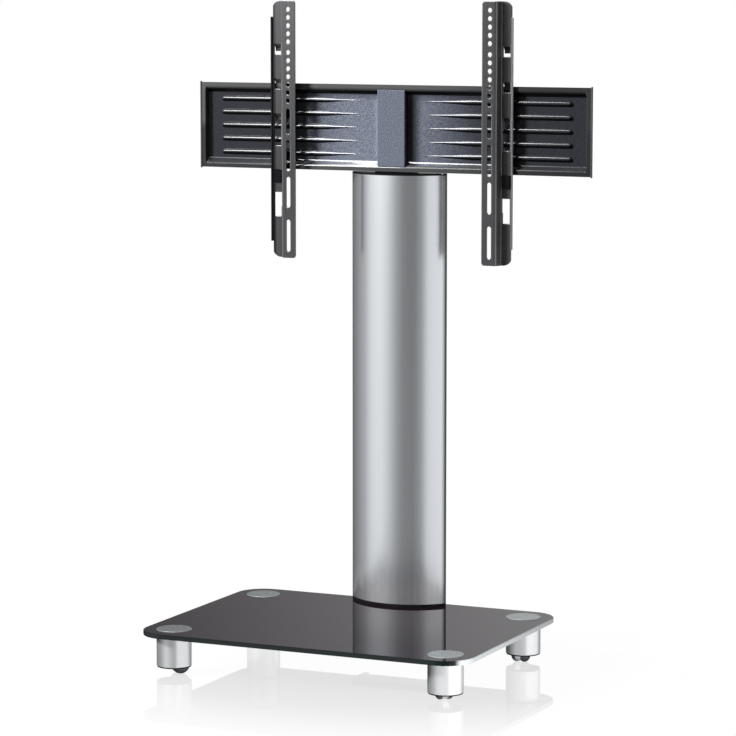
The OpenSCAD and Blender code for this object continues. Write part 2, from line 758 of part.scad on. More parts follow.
// plan of the right arm's front surface, from its inner edge to its step and rear strip
module arm_plan(with_lip) {
    a = [arm_in_x, arm_face_y];
    b = [arm_bend_x, arm_face_y];
    c = [arm_strip_in_x, arm_strip_y];
    d = [arm_strip_out_x, arm_strip_y];
    e = [arm_out_x - arm_t / 2, arm_strip_y - arm_lip];
    edge = with_lip ? concat(bend(c, d, e, arm_bend_r), [e]) : [d];
    path = concat([a], bend(a, b, c, arm_bend_r + arm_t), bend(b, c, d, arm_bend_r), edge);
    polygon(sheet_outline(path, arm_t));
}

// outline of the arm seen from the front, with its rounded corners
module arm_outline(x1) {
    difference() {
        translate([arm_in_x, arm_bottom]) square([x1 - arm_in_x, arm_h]);
        for (top = [0, 1]) {
            z = top ? arm_top : arm_bottom;
            s = top ? -1 : 1;
            corner_cut(arm_in_x, z, 1, s, arm_inner_corner_r);
            corner_cut(arm_strip_out_x + arm_t / 2, z, -1, s, arm_corner_r);
        }
    }
}

// waste outside a round corner at x, z; the arm lies towards sx, sz
module corner_cut(x, z, sx, sz, r) {
    difference() {
        translate([x - (sx > 0 ? cut_over * 4 : r), z - (sz > 0 ? cut_over : r)])
            square([r + cut_over * 4, r + cut_over]);
        translate([x + sx * r, z + sz * r]) circle(r);
    }
}

// one hook: a tongue from its window's upper edge, set back behind the rim
module hook(z) {
    upper = z;
    tip = z - hook_rise - hook_drop - seat_gap;
    front = arm_strip_y;
    a = [front + arm_t / 2, upper + arm_t / 2];
    b = [front + arm_t / 2, upper - arm_t / 2];
    c = [hook_y + arm_t / 2, tip + hook_drop];
    d = [hook_y + arm_t / 2, tip];
    translate([hook_x - hook_w / 2, 0, 0]) rotate([90, 0, 90]) linear_extrude(hook_w)
        polygon(sheet_outline([for (p = [a, b, c, d]) p - [arm_t / 2, 0]], arm_t));
}

module arm_body() {
    difference() {
        union() {
            intersection() {
                translate([0, 0, arm_bottom]) linear_extrude(arm_h) arm_plan(false);
                upright(arm_face_y - arm_t, rim_y + arm_t) arm_outline(arm_out_x + arm_t);
            }
            translate([0, 0, arm_bottom + arm_lip_inset]) linear_extrude(arm_h - 2 * arm_lip_inset)
                intersection() {
                    arm_plan(true);
                    translate([hook_x, arm_face_y]) square([arm_strip_w + arm_lip, arm_step_d + 2 * arm_t]);
                }
        }
        // round screen holes
        for (z = hole_zs) bar_y(hole_d, arm_face_y - cut_over, arm_face_y + arm_t + cut_over, arm_x, z);
        // screen slots
        for (s = slot_shares) screen_slot(hole_z - s[0] * arm_h, hole_z - s[1] * arm_h);
        // hook windows, the lowest longer than the others
        for (i = [0 : 2])
            window(hook_window_w, hook_zs[i] - (i > 1 ? lower_window_h : hook_window_h), hook_zs[i]);
        // lock window
        window(lock_w + 2 * seat_gap, lock_top - lock_window_h + seat_gap, lock_top + seat_gap);
        // open window under the lock, wider in its upper part
        window(hook_window_w, open_window_z - open_window_h, open_window_z);
        window(hook_window_w + cut_over, open_window_z - open_window_h * 0.57, open_window_z, -cut_over / 2);
    }
    for (z = hook_zs) hook(z);
}

// window through the arm's rear strip, moved sideways by dx
module window(w, z0, z1, dx = 0) {
    slab(w, arm_strip_y - cut_over, rim_y + cut_over, z0, z1, hook_x + dx);
}

// slot in the arm's face, with its round ends at z1 and z0
module screen_slot(z1, z0) {
    slab(hole_d, arm_face_y - cut_over, arm_face_y + arm_t + cut_over, z0 + hole_d / 2, z1 - hole_d / 2, arm_x);
    for (z = [z0 + hole_d / 2, z1 - hole_d / 2])
        bar_y(hole_d, arm_face_y - cut_over, arm_face_y + arm_t + cut_over, arm_x, z);
}

module right_arm() {
    color([0.30, 0.31, 0.33]) arm_body();
}

module left_arm() {
    color([0.30, 0.31, 0.33]) mirror([1, 0, 0]) arm_body();
}

// lock body through the arm's window, flanged on both sides, with a catch behind the rim
module lock_body() {
    z0 = lock_top - lock_h;
    flange_w = lock_w + 2 * lock_flange_over + 2 * seat_gap;
    front = arm_strip_y - seat_gap;
    back = arm_strip_back_y + seat_gap;
    slab(lock_w, front - lock_flange_t / 2, hook_y + arm_t, z0, lock_top, hook_x);
    slab(flange_w, front - lock_flange_t, front, lock_top - lock_window_h - lock_flange_over, lock_top, hook_x);
    slab(flange_w, back, back + lock_flange_t, z0, lock_top, hook_x);
    slab(lock_w, hook_y, hook_y + arm_t, lock_top - lock_h / 2, rim_bottom + lock_catch, hook_x);
}

module right_arm_lock() {
    color([0.06, 0.06, 0.06]) lock_body();
}

module left_arm_lock() {
    color([0.06, 0.06, 0.06]) mirror([1, 0, 0]) lock_body();
}

// draws the pieces of foot i, each under its own name
module one_corner(side, i) {
    foot_disc(i);
    foot_sleeve(i);
    foot_ring(i);
    caster_body(i);
    caster_axle(i);
    caster_wheel(i, 1);
    caster_wheel(i, -1);
}

base_glass();
for (i = [0 : 3]) one_corner(["front_left", "front_right", "back_left", "back_right"][i], i);
column_profile();
column_back_panel();
column_plinth();
column_cap();
cap_screws();
steel_post();
post_foot_plate();
post_plug();
glass_pad();
clamp_pad();
clamp_plate();
clamp_bolts();
crossbar_tray();
end_plate(-1);  // end_plate_left
end_plate(1);  // end_plate_right
tray_bracket();
bracket_screws();
tray_rivets();
centre_cover();
left_arm();
right_arm();
left_arm_lock();
right_arm_lock();
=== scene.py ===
import math
import bpy
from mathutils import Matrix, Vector


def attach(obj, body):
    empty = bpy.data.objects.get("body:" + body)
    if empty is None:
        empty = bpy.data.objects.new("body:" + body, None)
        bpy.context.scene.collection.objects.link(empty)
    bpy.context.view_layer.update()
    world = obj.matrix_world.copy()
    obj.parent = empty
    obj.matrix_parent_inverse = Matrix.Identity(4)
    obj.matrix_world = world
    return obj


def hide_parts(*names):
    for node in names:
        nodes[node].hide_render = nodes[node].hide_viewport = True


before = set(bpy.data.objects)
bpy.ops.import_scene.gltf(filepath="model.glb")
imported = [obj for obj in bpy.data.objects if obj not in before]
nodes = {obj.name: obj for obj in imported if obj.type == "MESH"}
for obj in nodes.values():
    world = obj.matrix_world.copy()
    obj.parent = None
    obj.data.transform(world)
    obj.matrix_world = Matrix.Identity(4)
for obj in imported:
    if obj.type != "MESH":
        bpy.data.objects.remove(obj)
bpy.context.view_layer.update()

corners = ("front_left", "front_right", "back_left", "back_right")
print("frame loaded:", len(nodes), "nodes")


class Link:                             # a shader socket that takes part in Python maths
    def __init__(self, shader, socket):
        self.shader, self.socket = shader, socket

    def maths(self, operation, *others):
        return self.shader.node("ShaderNodeMath", {"operation": operation},
                                dict(enumerate((self,) + others)))

    def __add__(self, other):
        return self.maths("ADD", other)

    __radd__ = __add__

    def __sub__(self, other):
        return self.maths("SUBTRACT", other)

    def __rsub__(self, other):
        return (self * -1) + other

    def __mul__(self, other):
        return self.maths("MULTIPLY", other)

    __rmul__ = __mul__

    def __truediv__(self, other):
        return self.maths("DIVIDE", other)

    def power(self, other):
        return self.maths("POWER", other)

    def size(self):
        return self.maths("ABSOLUTE")

    def least(self, other):
        return self.maths("MINIMUM", other)

    def most(self, other):
        return self.maths("MAXIMUM", other)

    def softMost(self, other, reach):
        return self.maths("SMOOTH_MAX", other, reach)

    def softLeast(self, other, reach):
        return self.maths("SMOOTH_MIN", other, reach)

    def clamped(self):
        return self.most(0.0).least(1.0)

    def ramp(self, low, high, start=0.0, end=1.0):     # smooth step from low to high
        return self.shader.node("ShaderNodeMapRange", {"interpolation_type": "SMOOTHSTEP"},
                                {0: self, 1: low, 2: high, 3: start, 4: end})


class NodeWork:                         # builds nodes in one tree
    def __init__(self, tree):
        self.tree = tree

    def node(self, kind, settings=None, inputs=None, out=0):
        made = self.tree.nodes.new(kind)
        for key, value in (settings or {}).items():
            if key == "stops":          # grey levels of a colour ramp
                while len(made.color_ramp.elements) < len(value):
                    made.color_ramp.elements.new(1.0)
                for element, (place, level) in zip(made.color_ramp.elements, value):
                    element.position = place
                    element.color = (level, level, level, 1)
            else:
                setattr(made, key, value)
        for key, value in (inputs or {}).items():
            if isinstance(value, Link):
                self.tree.links.new(value.socket, made.inputs[key])
            else:
                made.inputs[key].default_value = value
        return Link(self, made.outputs[out])


class Shader(NodeWork):                 # the tree of a material or of the world
    def __init__(self, owner, outputKind):
        owner.use_nodes = True
        super().__init__(owner.node_tree)
        self.owner = owner
        self.tree.nodes.clear()
        self.output = self.tree.nodes.new(outputKind)

    def finish(self, surface):
        self.tree.links.new(surface.socket, self.output.inputs["Surface"])
        return self.owner


def newShader(name):
    return Shader(bpy.data.materials.new(name), "ShaderNodeOutputMaterial")


def position(s):
    return s.node("ShaderNodeTexCoord", out="Object")


def axes(s, vector):
    return [s.node("ShaderNodeSeparateXYZ", inputs={0: vector}, out=i) for i in range(3)]


def stretched(s, scale):                # object coordinates, scaled along each axis
    return s.node("ShaderNodeMapping", inputs={"Vector": position(s), "Scale": scale})


def noise(s, vector, scale, detail=2.0, rough=0.5):
    return s.node("ShaderNodeTexNoise",
                  inputs={"Vector": vector, "Scale": scale, "Detail": detail, "Roughness": rough})


def mixed(s, factor, first, second):    # colour between two, each of them a value or a link
    first, second = (c if isinstance(c, Link) else (*c, 1) for c in (first, second))
    return s.node("ShaderNodeMix", {"data_type": "RGBA"}, {0: factor, 6: first, 7: second}, out=2)


def bump(s, height, strength, depth=0.0002, normal=None):
    inputs = {"Height": height, "Strength": strength, "Distance": depth}
    if normal is not None:
        inputs["Normal"] = normal
    return s.node("ShaderNodeBump", inputs=inputs)


def faceNormal(s):
    return s.node("ShaderNodeNewGeometry", out="Normal")


def ray(s, kind):
    return s.node("ShaderNodeLightPath", out="Is " + kind + " Ray")


def blended(s, factor, first, second):  # mix of two surfaces
    return s.node("ShaderNodeMixShader", inputs={0: factor, 1: first, 2: second})


def principled(s, inputs):
    return s.finish(s.node("ShaderNodeBsdfPrincipled", inputs=inputs))


def uneven(texture, look, shared):      # roughness that follows a texture
    least, most = look["rough"] - shared["smoother"], look["rough"] + shared["rougher"]
    return texture.ramp(*shared["span"], least, most)


def paint(material, *names):
    for name in names:
        for slot in nodes[name].material_slots:
            slot.material = material


def each(kind):
    return [kind + "_" + corner for corner in corners]


# painted highlights on the edges and upright bends of painted sheet, which are lighter than its faces
edgeLook = {"samples": 6, "sharp": (0.995, 0.88), "bend": (0.37, 0.44), "leftShare": 0.45,
            "slope": (0.30, 0.35), "slopeShare": 0.35}


def roundedEdge(s, width):              # normal rounded over sharp edges, and a mask of the painted highlights on the edges and bends
    bent = s.node("ShaderNodeBevel", {"samples": edgeLook["samples"]}, {"Radius": width})
    flat = faceNormal(s)
    same = s.node("ShaderNodeVectorMath", {"operation": "DOT_PRODUCT"}, {0: bent, 1: flat}, out="Value")
    x, y, _ = axes(s, flat)
    slant = x * y * -1                  # above 0 on bends that face right, below 0 on those that face left
    right = slant.ramp(*edgeLook["bend"]).most(slant.ramp(*edgeLook["slope"]) * edgeLook["slopeShare"])
    left = (slant * -1).ramp(*edgeLook["bend"]) * edgeLook["leftShare"]
    return bent, same.ramp(*edgeLook["sharp"]).most(right).most(left)


brushed = {"detail": 3.0, "cloudShare": 0.10, "span": (0.25, 0.75), "smoother": 0.04, "rougher": 0.05,
           "footShadeSpan": (-0.35, 0.35)}


def brushedMetal(name, look):           # streaks along one axis, of aluminium or steel
    s = newShader(name)
    streak = noise(s, stretched(s, look["streak"]), 1.0, brushed["detail"])
    cloud = noise(s, position(s), look["cloud"])
    shade = (streak - 0.5) * look["contrast"] + (cloud - 0.5) * brushed["cloudShare"] + 0.5
    colour = mixed(s, shade, look["dark"], look["light"])
    x, _, z = axes(s, position(s))
    if "foot" in look:                  # painted shade: the left side of each foot is darker
        footX, footRadius = look["foot"]
        across = (x - x.maths("SIGN") * footX) / footRadius
        colour = mixed(s, across.ramp(*brushed["footShadeSpan"]), look["left"], colour)
    if "rim" in look:                   # painted light: the column is lighter at its foot, to outweigh the dark glass it reflects there; it is darker at its side edges
        colour = mixed(s, z.ramp(*look["low"]), colour, look["lowLightColour"])
        colour = mixed(s, x.size().ramp(*look["rim"]), colour, look["rimColour"])
    return principled(s, {
        "Base Color": colour,
        "Metallic": look["metallic"],
        "Roughness": uneven(streak, look, brushed),
        "Normal": bump(s, streak, look["bump"])})


spun = {"span": (0.3, 0.7), "smoother": 0.05, "rougher": 0.06, "chamfer": (0.98, 0.80), "chamferRough": 0.35}


def spunMetal(name, look):              # fine rings about each foot's axis
    s = newShader(name)
    x, y, _ = axes(s, position(s))
    radius = ((x.size() - look["x"]).power(2) + (y.size() - look["y"]).power(2)).power(0.5)
    ring = noise(s, s.node("ShaderNodeCombineXYZ", inputs={0: radius * look["rings"]}), 1.0)
    shade = (ring - 0.5) * look["contrast"] + 0.5
    chamfer = axes(s, faceNormal(s))[2].ramp(*spun["chamfer"])
    return principled(s, {
        "Base Color": mixed(s, shade, look["dark"], look["light"]),
        "Metallic": look["metallic"],
        "Roughness": uneven(ring, look, spun) + chamfer * spun["chamferRough"],
        "Normal": bump(s, ring, look["bump"])})


plastic = {"detail": 3.0, "cloud": 22.0, "cloudSpan": (0.3, 0.7), "span": (0.3, 0.7), "smoother": 0.06,
           "rougher": 0.06}


def moulded(name, look):                # plastic or rubber with a fine grain
    s = newShader(name)
    grain = noise(s, position(s), look["grain"], plastic["detail"])
    cloud = noise(s, position(s), plastic["cloud"])
    return principled(s, {
        "Base Color": mixed(s, cloud.ramp(*plastic["cloudSpan"]), look["dark"], look["light"]),
        "Roughness": uneven(grain, look, plastic),
        "Specular IOR Level": look["specular"],
        "Normal": bump(s, grain, look["bump"])})


powder = {"cloud": 9.0, "cloudSpan": (0.3, 0.7), "span": (0.3, 0.7), "smoother": 0.04, "rougher": 0.05,
          "specular": 0.20, "coatRough": 0.18, "peelDepth": 0.0003, "edgeHighlightColour": (0.5, 0.5, 0.52)}


def powderCoat(name, look):             # even paint with a fine orange peel
    s = newShader(name)
    peel = noise(s, position(s), look["grain"])
    cloud = noise(s, position(s), powder["cloud"])
    colour = mixed(s, cloud.ramp(*powder["cloudSpan"]), look["dark"], look["light"])
    bent, mask = roundedEdge(s, look["edgeWidth"])
    edge = mask * look["edge"]
    if "lip" in look:                   # painted shade: the outer lip of the left arm is painted dark, as it lies in shadow
        lip = axes(s, position(s))[0].ramp(*look["lip"])
        edge = edge * (1 - lip)
        colour = mixed(s, lip, colour, look["lipColour"])
    # the edge mask paints a pale highlight and more metal onto edges and bends
    return principled(s, {
        "Base Color": mixed(s, edge, colour, powder["edgeHighlightColour"]),
        "Metallic": edge + look["metallic"],
        "Specular IOR Level": powder["specular"],
        "Roughness": uneven(peel, look, powder),
        "Coat Weight": look["coat"],
        "Coat Roughness": powder["coatRough"],
        "Normal": bump(s, peel, look["bump"], powder["peelDepth"], bent)})


smokedLook = {"body": (0.014, 0.007, 0.013), "green": (0.002, 0.007, 0.006), "ground": (0.52, 0.54, 0.55),
              "edgeSlope": (0.85, 0.55), "groundSlope": (0.62, 0.80), "groundRough": 0.4,
              "hazeScale": 30.0, "haze": (0.3, 0.7, 0.015, 0.04),
              "ior": 1.5, "tint": (1.0, 0.90, 1.0, 1), "alpha": 0.96}


def smokedGlass():                      # dark glass with a green edge; its edges that face right are painted pale and ground rough, as painted light
    s = newShader("smokedGlass")
    x, _, z = axes(s, faceNormal(s))
    edge = z.size().ramp(*smokedLook["edgeSlope"])
    litSide = x.ramp(*smokedLook["groundSlope"]) * edge
    haze = noise(s, position(s), smokedLook["hazeScale"])
    body = mixed(s, edge, smokedLook["body"], smokedLook["green"])
    return principled(s, {
        "Base Color": mixed(s, litSide, body, smokedLook["ground"]),
        "Roughness": litSide * smokedLook["groundRough"] + haze.ramp(*smokedLook["haze"]),
        "IOR": smokedLook["ior"],
        "Specular Tint": smokedLook["tint"],
        "Alpha": smokedLook["alpha"]})


paint(smokedGlass(), "base_glass")

discLook = {"x": 0.2405, "y": 0.1635, "rings": 2200.0, "contrast": 0.6, "dark": (0.34, 0.38, 0.39),
            "light": (0.62, 0.66, 0.67), "metallic": 0.92, "rough": 0.26, "bump": 0.45}
paint(spunMetal("spunAluminium", discLook), *each("foot_disc"))

# foot and left give the painted shade on the left side of each foot
footLook = {"streak": (2.0, 2.0, 900.0), "cloud": 12.0, "contrast": 0.12, "dark": (0.86, 0.88, 0.89),
            "light": (0.93, 0.94, 0.95), "metallic": 0.60, "rough": 0.17, "bump": 0.006,
            "foot": (0.2405, 0.0287), "left": (0.36, 0.38, 0.39)}
paint(brushedMetal("footAluminium", footLook), *each("foot_sleeve"))

# low and its colour paint light onto the foot of the column
columnLook = {"streak": (1400.0, 1400.0, 1.6), "cloud": 1.2, "contrast": 0.22, "dark": (0.70, 0.73, 0.765),
              "light": (0.82, 0.85, 0.88), "metallic": 0.95, "rough": 0.22, "bump": 0.012,
              "rim": (0.0805, 0.0862), "rimColour": (0.16, 0.17, 0.18),
              "low": (0.145, 0.088), "lowLightColour": (0.96, 0.98, 1.0)}
paint(brushedMetal("columnAluminium", columnLook), "column_profile")

silverLook = {"streak": (60.0, 60.0, 60.0), "cloud": 60.0, "contrast": 0.2, "dark": (0.70, 0.73, 0.75),
              "light": (0.82, 0.85, 0.87), "metallic": 0.3, "rough": 0.30, "bump": 0.02}
paint(brushedMetal("casterSilver", silverLook), *each("caster_body"))

zincLook = {"streak": (120.0, 120.0, 120.0), "cloud": 80.0, "contrast": 0.5, "dark": (0.46, 0.46, 0.49),
            "light": (0.66, 0.67, 0.70), "metallic": 0.95, "rough": 0.33, "bump": 0.05}
paint(brushedMetal("zincSteel", zincLook), *each("caster_axle"), "cap_screws", "clamp_bolts",
      "bracket_screws")

wheelLook = {"grain": 500.0, "dark": (0.050, 0.054, 0.058), "light": (0.085, 0.090, 0.095), "rough": 0.24,
             "specular": 0.5, "bump": 0.04}
paint(moulded("wheelPlastic", wheelLook), *each("wheel_a"), *each("wheel_b"))

blackLook = {"grain": 1400.0, "dark": (0.004, 0.004, 0.005), "light": (0.007, 0.007, 0.008), "rough": 0.45,
             "specular": 0.06, "bump": 0.06}
paint(moulded("blackPlastic", blackLook), *each("foot_ring"), "column_plinth", "column_cap", "post_plug",
      "left_arm_lock", "right_arm_lock")

panelLook = {"grain": 1100.0, "dark": (0.016, 0.016, 0.018), "light": (0.024, 0.024, 0.026), "rough": 0.5,
             "specular": 0.5, "bump": 0.10}
paint(moulded("panelPlastic", panelLook), "column_back_panel")

rubberLook = {"grain": 700.0, "dark": (0.012, 0.012, 0.012), "light": (0.020, 0.020, 0.020), "rough": 0.75,
              "specular": 0.5, "bump": 0.12}
paint(moulded("blackRubber", rubberLook), "glass_pad", "clamp_pad")

# edge gives the painted highlights on edges and bends; the lip entries give the painted shade on the left
# arm's outer lip
armLook = {"grain": 1000.0, "dark": (0.048, 0.049, 0.051), "light": (0.058, 0.059, 0.061), "metallic": 0.0,
           "rough": 0.42, "coat": 0.05, "bump": 0.08, "edge": 0.60, "edgeWidth": 0.0022,
           "lip": (-0.2108, -0.2118), "lipColour": (0.012, 0.012, 0.013)}
paint(powderCoat("armPaint", armLook), "left_arm", "right_arm")

steelLook = {"grain": 800.0, "dark": (0.028, 0.029, 0.032), "light": (0.040, 0.041, 0.044), "metallic": 0.2,
             "rough": 0.45, "coat": 0.2, "bump": 0.12, "edge": 0.2, "edgeWidth": 0.0007}
paint(powderCoat("postPaint", steelLook), "steel_post", "post_foot_plate", "tray_bracket", "clamp_plate")

plateLook = {"grain": 900.0, "dark": (0.075, 0.076, 0.080), "light": (0.095, 0.096, 0.100), "metallic": 0.1,
             "rough": 0.40, "coat": 0.3, "bump": 0.08, "edge": 0.3, "edgeWidth": 0.0007}
paint(powderCoat("endPlatePaint", plateLook), "end_plate_left", "end_plate_right")

crossbar = {"centreZ": 0.8773, "rimY": 0.1618}     # middle height and front of the tray's rim
flakes = {"scale": 620.0, "detail": 2.0, "rough": 0.7, "span": (0.40, 0.62), "share": 0.34}


def speckled(s):                        # metal flakes in the paint of the tray and the cover
    return noise(s, position(s), flakes["scale"], flakes["detail"], flakes["rough"]).ramp(*flakes["span"])


# edge gives the painted highlight on the cover's edges
coverLook = {"paint": (0.084, 0.098, 0.134), "flakeAndHighlight": (0.52, 0.55, 0.64), "edge": 0.6,
             "edgeWidth": 0.0008, "rough": (0.45, 0.32), "specular": 0.05, "coat": 0.08, "coatRough": 0.2,
             "bump": 0.12}


def coverPaint():
    s = newShader("coverPaint")
    flake = speckled(s)
    bent, edge = roundedEdge(s, coverLook["edgeWidth"])
    # flakes, and a painted highlight on the edges
    light = (flake * flakes["share"]).most(edge * coverLook["edge"])
    return principled(s, {
        "Base Color": mixed(s, light, coverLook["paint"], coverLook["flakeAndHighlight"]),
        "Roughness": flake.ramp(0.0, 1.0, *coverLook["rough"]),
        "Specular IOR Level": coverLook["specular"],
        "Coat Weight": coverLook["coat"],
        "Coat Roughness": coverLook["coatRough"],
        "Normal": bump(s, flake, coverLook["bump"], normal=bent)})


paint(coverPaint(), "centre_cover")
print("finishes done")

# paint of the tray with painted light and shade: a painted lit middle that darkens towards its ends, painted
# shadow under its top rim and beside the cover, and painted shade on faces that look down
trayLook = {
    "end": (0.026, 0.027, 0.032), "middle": (0.110, 0.126, 0.168), "dark": (0.006, 0.006, 0.007),
    # top darkens the floor under the top rim as painted shadow
    "left": (-0.22, -0.06), "right": (0.18, 0.0), "top": (0.942, 0.918),
    "coverShadowRight": (0.038, 0.056), "coverShadowLeft": (0.01, -0.01), "downShade": (-0.06, -0.34),
    # the lower rim is painted darker than the upper one, as painted shade
    "rimTop": (0.100, 0.102, 0.104), "rimBottom": (0.074, 0.076, 0.078), "rimBlend": 0.01,
    "rimShadeRight": (0.06, 0.26), "rimShadeRightShare": 0.62, "rimShadeLeft": (-0.12, -0.24), "rimShadeLeftShare": 0.5,
    "panFrom": 0.0010, "panTo": 0.0040, "flakeAndHighlight": (0.52, 0.55, 0.65), "flakeLeast": 0.08,
    "rough": (0.40, 0.28), "specular": 0.02, "bump": 0.05,
    "coat": (0.06, 0.32, 0.05, 1.0), "coatRough": 0.125, "coatIor": 1.7, "coatLoss": 0.75,
    "lowBend": (0.8175, 0.8150), "lowBendSide": (0.0, 0.03),
    "endWall": (0.8260, 0.8230), "endWallSide": (0.19, 0.22)}


def trayPaint():
    s = newShader("trayPaint")
    look = trayLook
    x, y, z = axes(s, position(s))
    facingUp = axes(s, faceNormal(s))[2]
    # front of the rim, with painted shade towards its right end and on its lower left
    upper = z.ramp(crossbar["centreZ"] - look["rimBlend"], crossbar["centreZ"] + look["rimBlend"])
    shadeRight = x.ramp(*look["rimShadeRight"]) * look["rimShadeRightShare"]
    shadeLeft = x.ramp(*look["rimShadeLeft"]) * (1 - upper) * look["rimShadeLeftShare"]
    bare = mixed(s, upper, look["rimBottom"], look["rimTop"])
    rim = mixed(s, shadeRight.most(shadeLeft), bare, look["dark"])
    # floor, walls and ribs of the pan, with the painted lit middle, the painted shadows and the painted shade
    # on faces that look down; the flakes show most in the painted lit middle
    # painted shadow of the cover on the floor to its right
    coverShadow = x.ramp(*look["coverShadowRight"]).most(x.ramp(*look["coverShadowLeft"]))
    middle = x.ramp(*look["left"]).least(x.ramp(*look["right"])) * z.ramp(*look["top"]) * coverShadow
    flake = speckled(s)
    sparkle = flake * (middle + look["flakeLeast"]) * flakes["share"]
    floor = mixed(s, sparkle, mixed(s, middle, look["end"], look["middle"]), look["flakeAndHighlight"])
    # painted shade on faces that look down
    lit = mixed(s, facingUp.ramp(*look["downShade"]), floor, look["dark"])
    inPan = y.ramp(crossbar["rimY"] + look["panFrom"], crossbar["rimY"] + look["panTo"])
    # gloss, weaker where the lower wall lies in the dark
    lowBend = z.ramp(*look["lowBend"]) * x.ramp(*look["lowBendSide"])
    endWall = z.ramp(*look["endWall"]) * x.size().ramp(*look["endWallSide"])
    return principled(s, {
        "Base Color": mixed(s, inPan, rim, lit),
        "Roughness": flake.ramp(0.0, 1.0, *look["rough"]),
        "Specular IOR Level": look["specular"],
        "Coat Weight": facingUp.ramp(*look["coat"]) * (1 - lowBend.most(endWall) * look["coatLoss"]),
        "Coat Roughness": look["coatRough"],
        "Coat IOR": look["coatIor"],
        "Normal": bump(s, flake, look["bump"])})


# the pressed tray is one sheet shaped by a rule: a pan with soft bends, a row of ribs on each half, two beads

trayShape = {
    "sheet": 0.002, "windowHalf": (0.023, 0.050), "sharpAngle": 40,
    # mesh lines from the middle outwards: up to this distance, so many cells
    "across": [(0.023, 4), (0.0262, 3), (0.0302, 12), (0.056, 4), (0.140, 10), (0.312, 4), (0.320, 12),
               (0.341, 5), (0.348, 16), (0.3535, 3)],
    "upwards": [(0.0047, 14), (0.0051, 1), (0.01735, 4), (0.01775, 1), (0.02715, 28), (0.02755, 1),
                (0.0398, 4), (0.0402, 1), (0.0496, 28), (0.050, 1), (0.054, 3), (0.067, 18), (0.072, 2)],
    "band": (0.0047, 0.0051), "narrowestBand": 0.12,
    "press": {"Rim Y": crossbar["rimY"], "Centre Z": crossbar["centreZ"],
              "Pan Depth": 0.008, "Wall Run": 0.008, "End Run": 0.003, "Bend": 0.30,
              "Opening Half Width": 0.346, "Opening Half Height": 0.0645, "Corner": 0.0035,
              "Rib Pitch": 0.02245, "Rib Radius": 0.0046, "Rib Sink": 0.0006, "Rib Start": 0.056,
              "Rib Taper": 0.080, "Rib End": 0.3180, "Rib Root": 0.0006,
              "Bead X": 0.0282, "Bead Half Length": 0.0480, "Bead Radius": 0.0018, "Bead Height": 0.0010}}
outerRow = 2                            # the five ribs of each half are the rows -2 to 2
nearly = 1e-7                           # margin where two lengths are compared


def meshLines(parts):                   # mirrored list of line places
    half, last = [0.0], 0.0
    for end, cells in parts:
        half += [last + (end - last) * (i + 1) / cells for i in range(cells)]
        last = end
    return [-v for v in reversed(half[1:])] + half


def followRib(x, z, look):              # draws the mesh lines of a rib's band in with its taper
    press, (inner, outer) = look["press"], look["band"]
    row = max(-outerRow, min(outerRow, round(z / press["Rib Pitch"])))
    off = z - row * press["Rib Pitch"]
    if abs(off) >= outer - nearly:
        return z
    share = min(1.0, (abs(x) - press["Rib Start"]) / press["Rib Taper"])
    narrow = inner * max(look["narrowestBand"], share)
    if abs(off) <= inner + nearly:
        far = narrow * math.sin(math.pi / 2 * min(1.0, abs(off) / inner))
    else:
        far = narrow + (abs(off) - inner) / (outer - inner) * (outer - narrow)
    return row * press["Rib Pitch"] + math.copysign(far, off)


def added(name, data):                  # a new object in the scene
    piece = bpy.data.objects.new(name, data)
    bpy.context.scene.collection.objects.link(piece)
    return piece


def newPiece(name, points, faces):
    mesh = bpy.data.meshes.new(name)
    mesh.from_pydata(points, [], faces)
    return added(name, mesh)


def flatSheet(name, look):              # two flat skins with a window, closed at every edge
    xs, zs = meshLines(look["across"]), meshLines(look["upwards"])
    wide, tall = len(xs), len(zs)
    points = [(x, y, followRib(x, z, look) + crossbar["centreZ"])
              for y in (0.0, look["sheet"]) for z in zs for x in xs]
    windowX, windowZ = look["windowHalf"]

    def solid(i, j):
        if not (0 <= i < wide - 1 and 0 <= j < tall - 1):
            return False
        midX, midZ = (xs[i] + xs[i + 1]) / 2, (zs[j] + zs[j + 1]) / 2
        return abs(midX) > windowX or abs(midZ) > windowZ

    def number(i, j, skin):
        return skin * wide * tall + j * wide + i

    faces = []
    for j in range(tall - 1):
        for i in range(wide - 1):
            if not solid(i, j):
                continue
            cell = [(i, j), (i + 1, j), (i + 1, j + 1), (i, j + 1)]
            faces.append([number(*c, 0) for c in cell])
            faces.append([number(*c, 1) for c in reversed(cell)])
            for k, (di, dj) in enumerate(((0, -1), (1, 0), (0, 1), (-1, 0))):
                if not solid(i + di, j + dj):
                    a, b = cell[k], cell[(k + 1) % 4]
                    faces.append([number(*b, 0), number(*a, 0), number(*a, 1), number(*b, 1)])
    used = {v: k for k, v in enumerate(sorted({v for face in faces for v in face}))}
    return newPiece(name, [points[v] for v in used], [[used[v] for v in face] for face in faces])


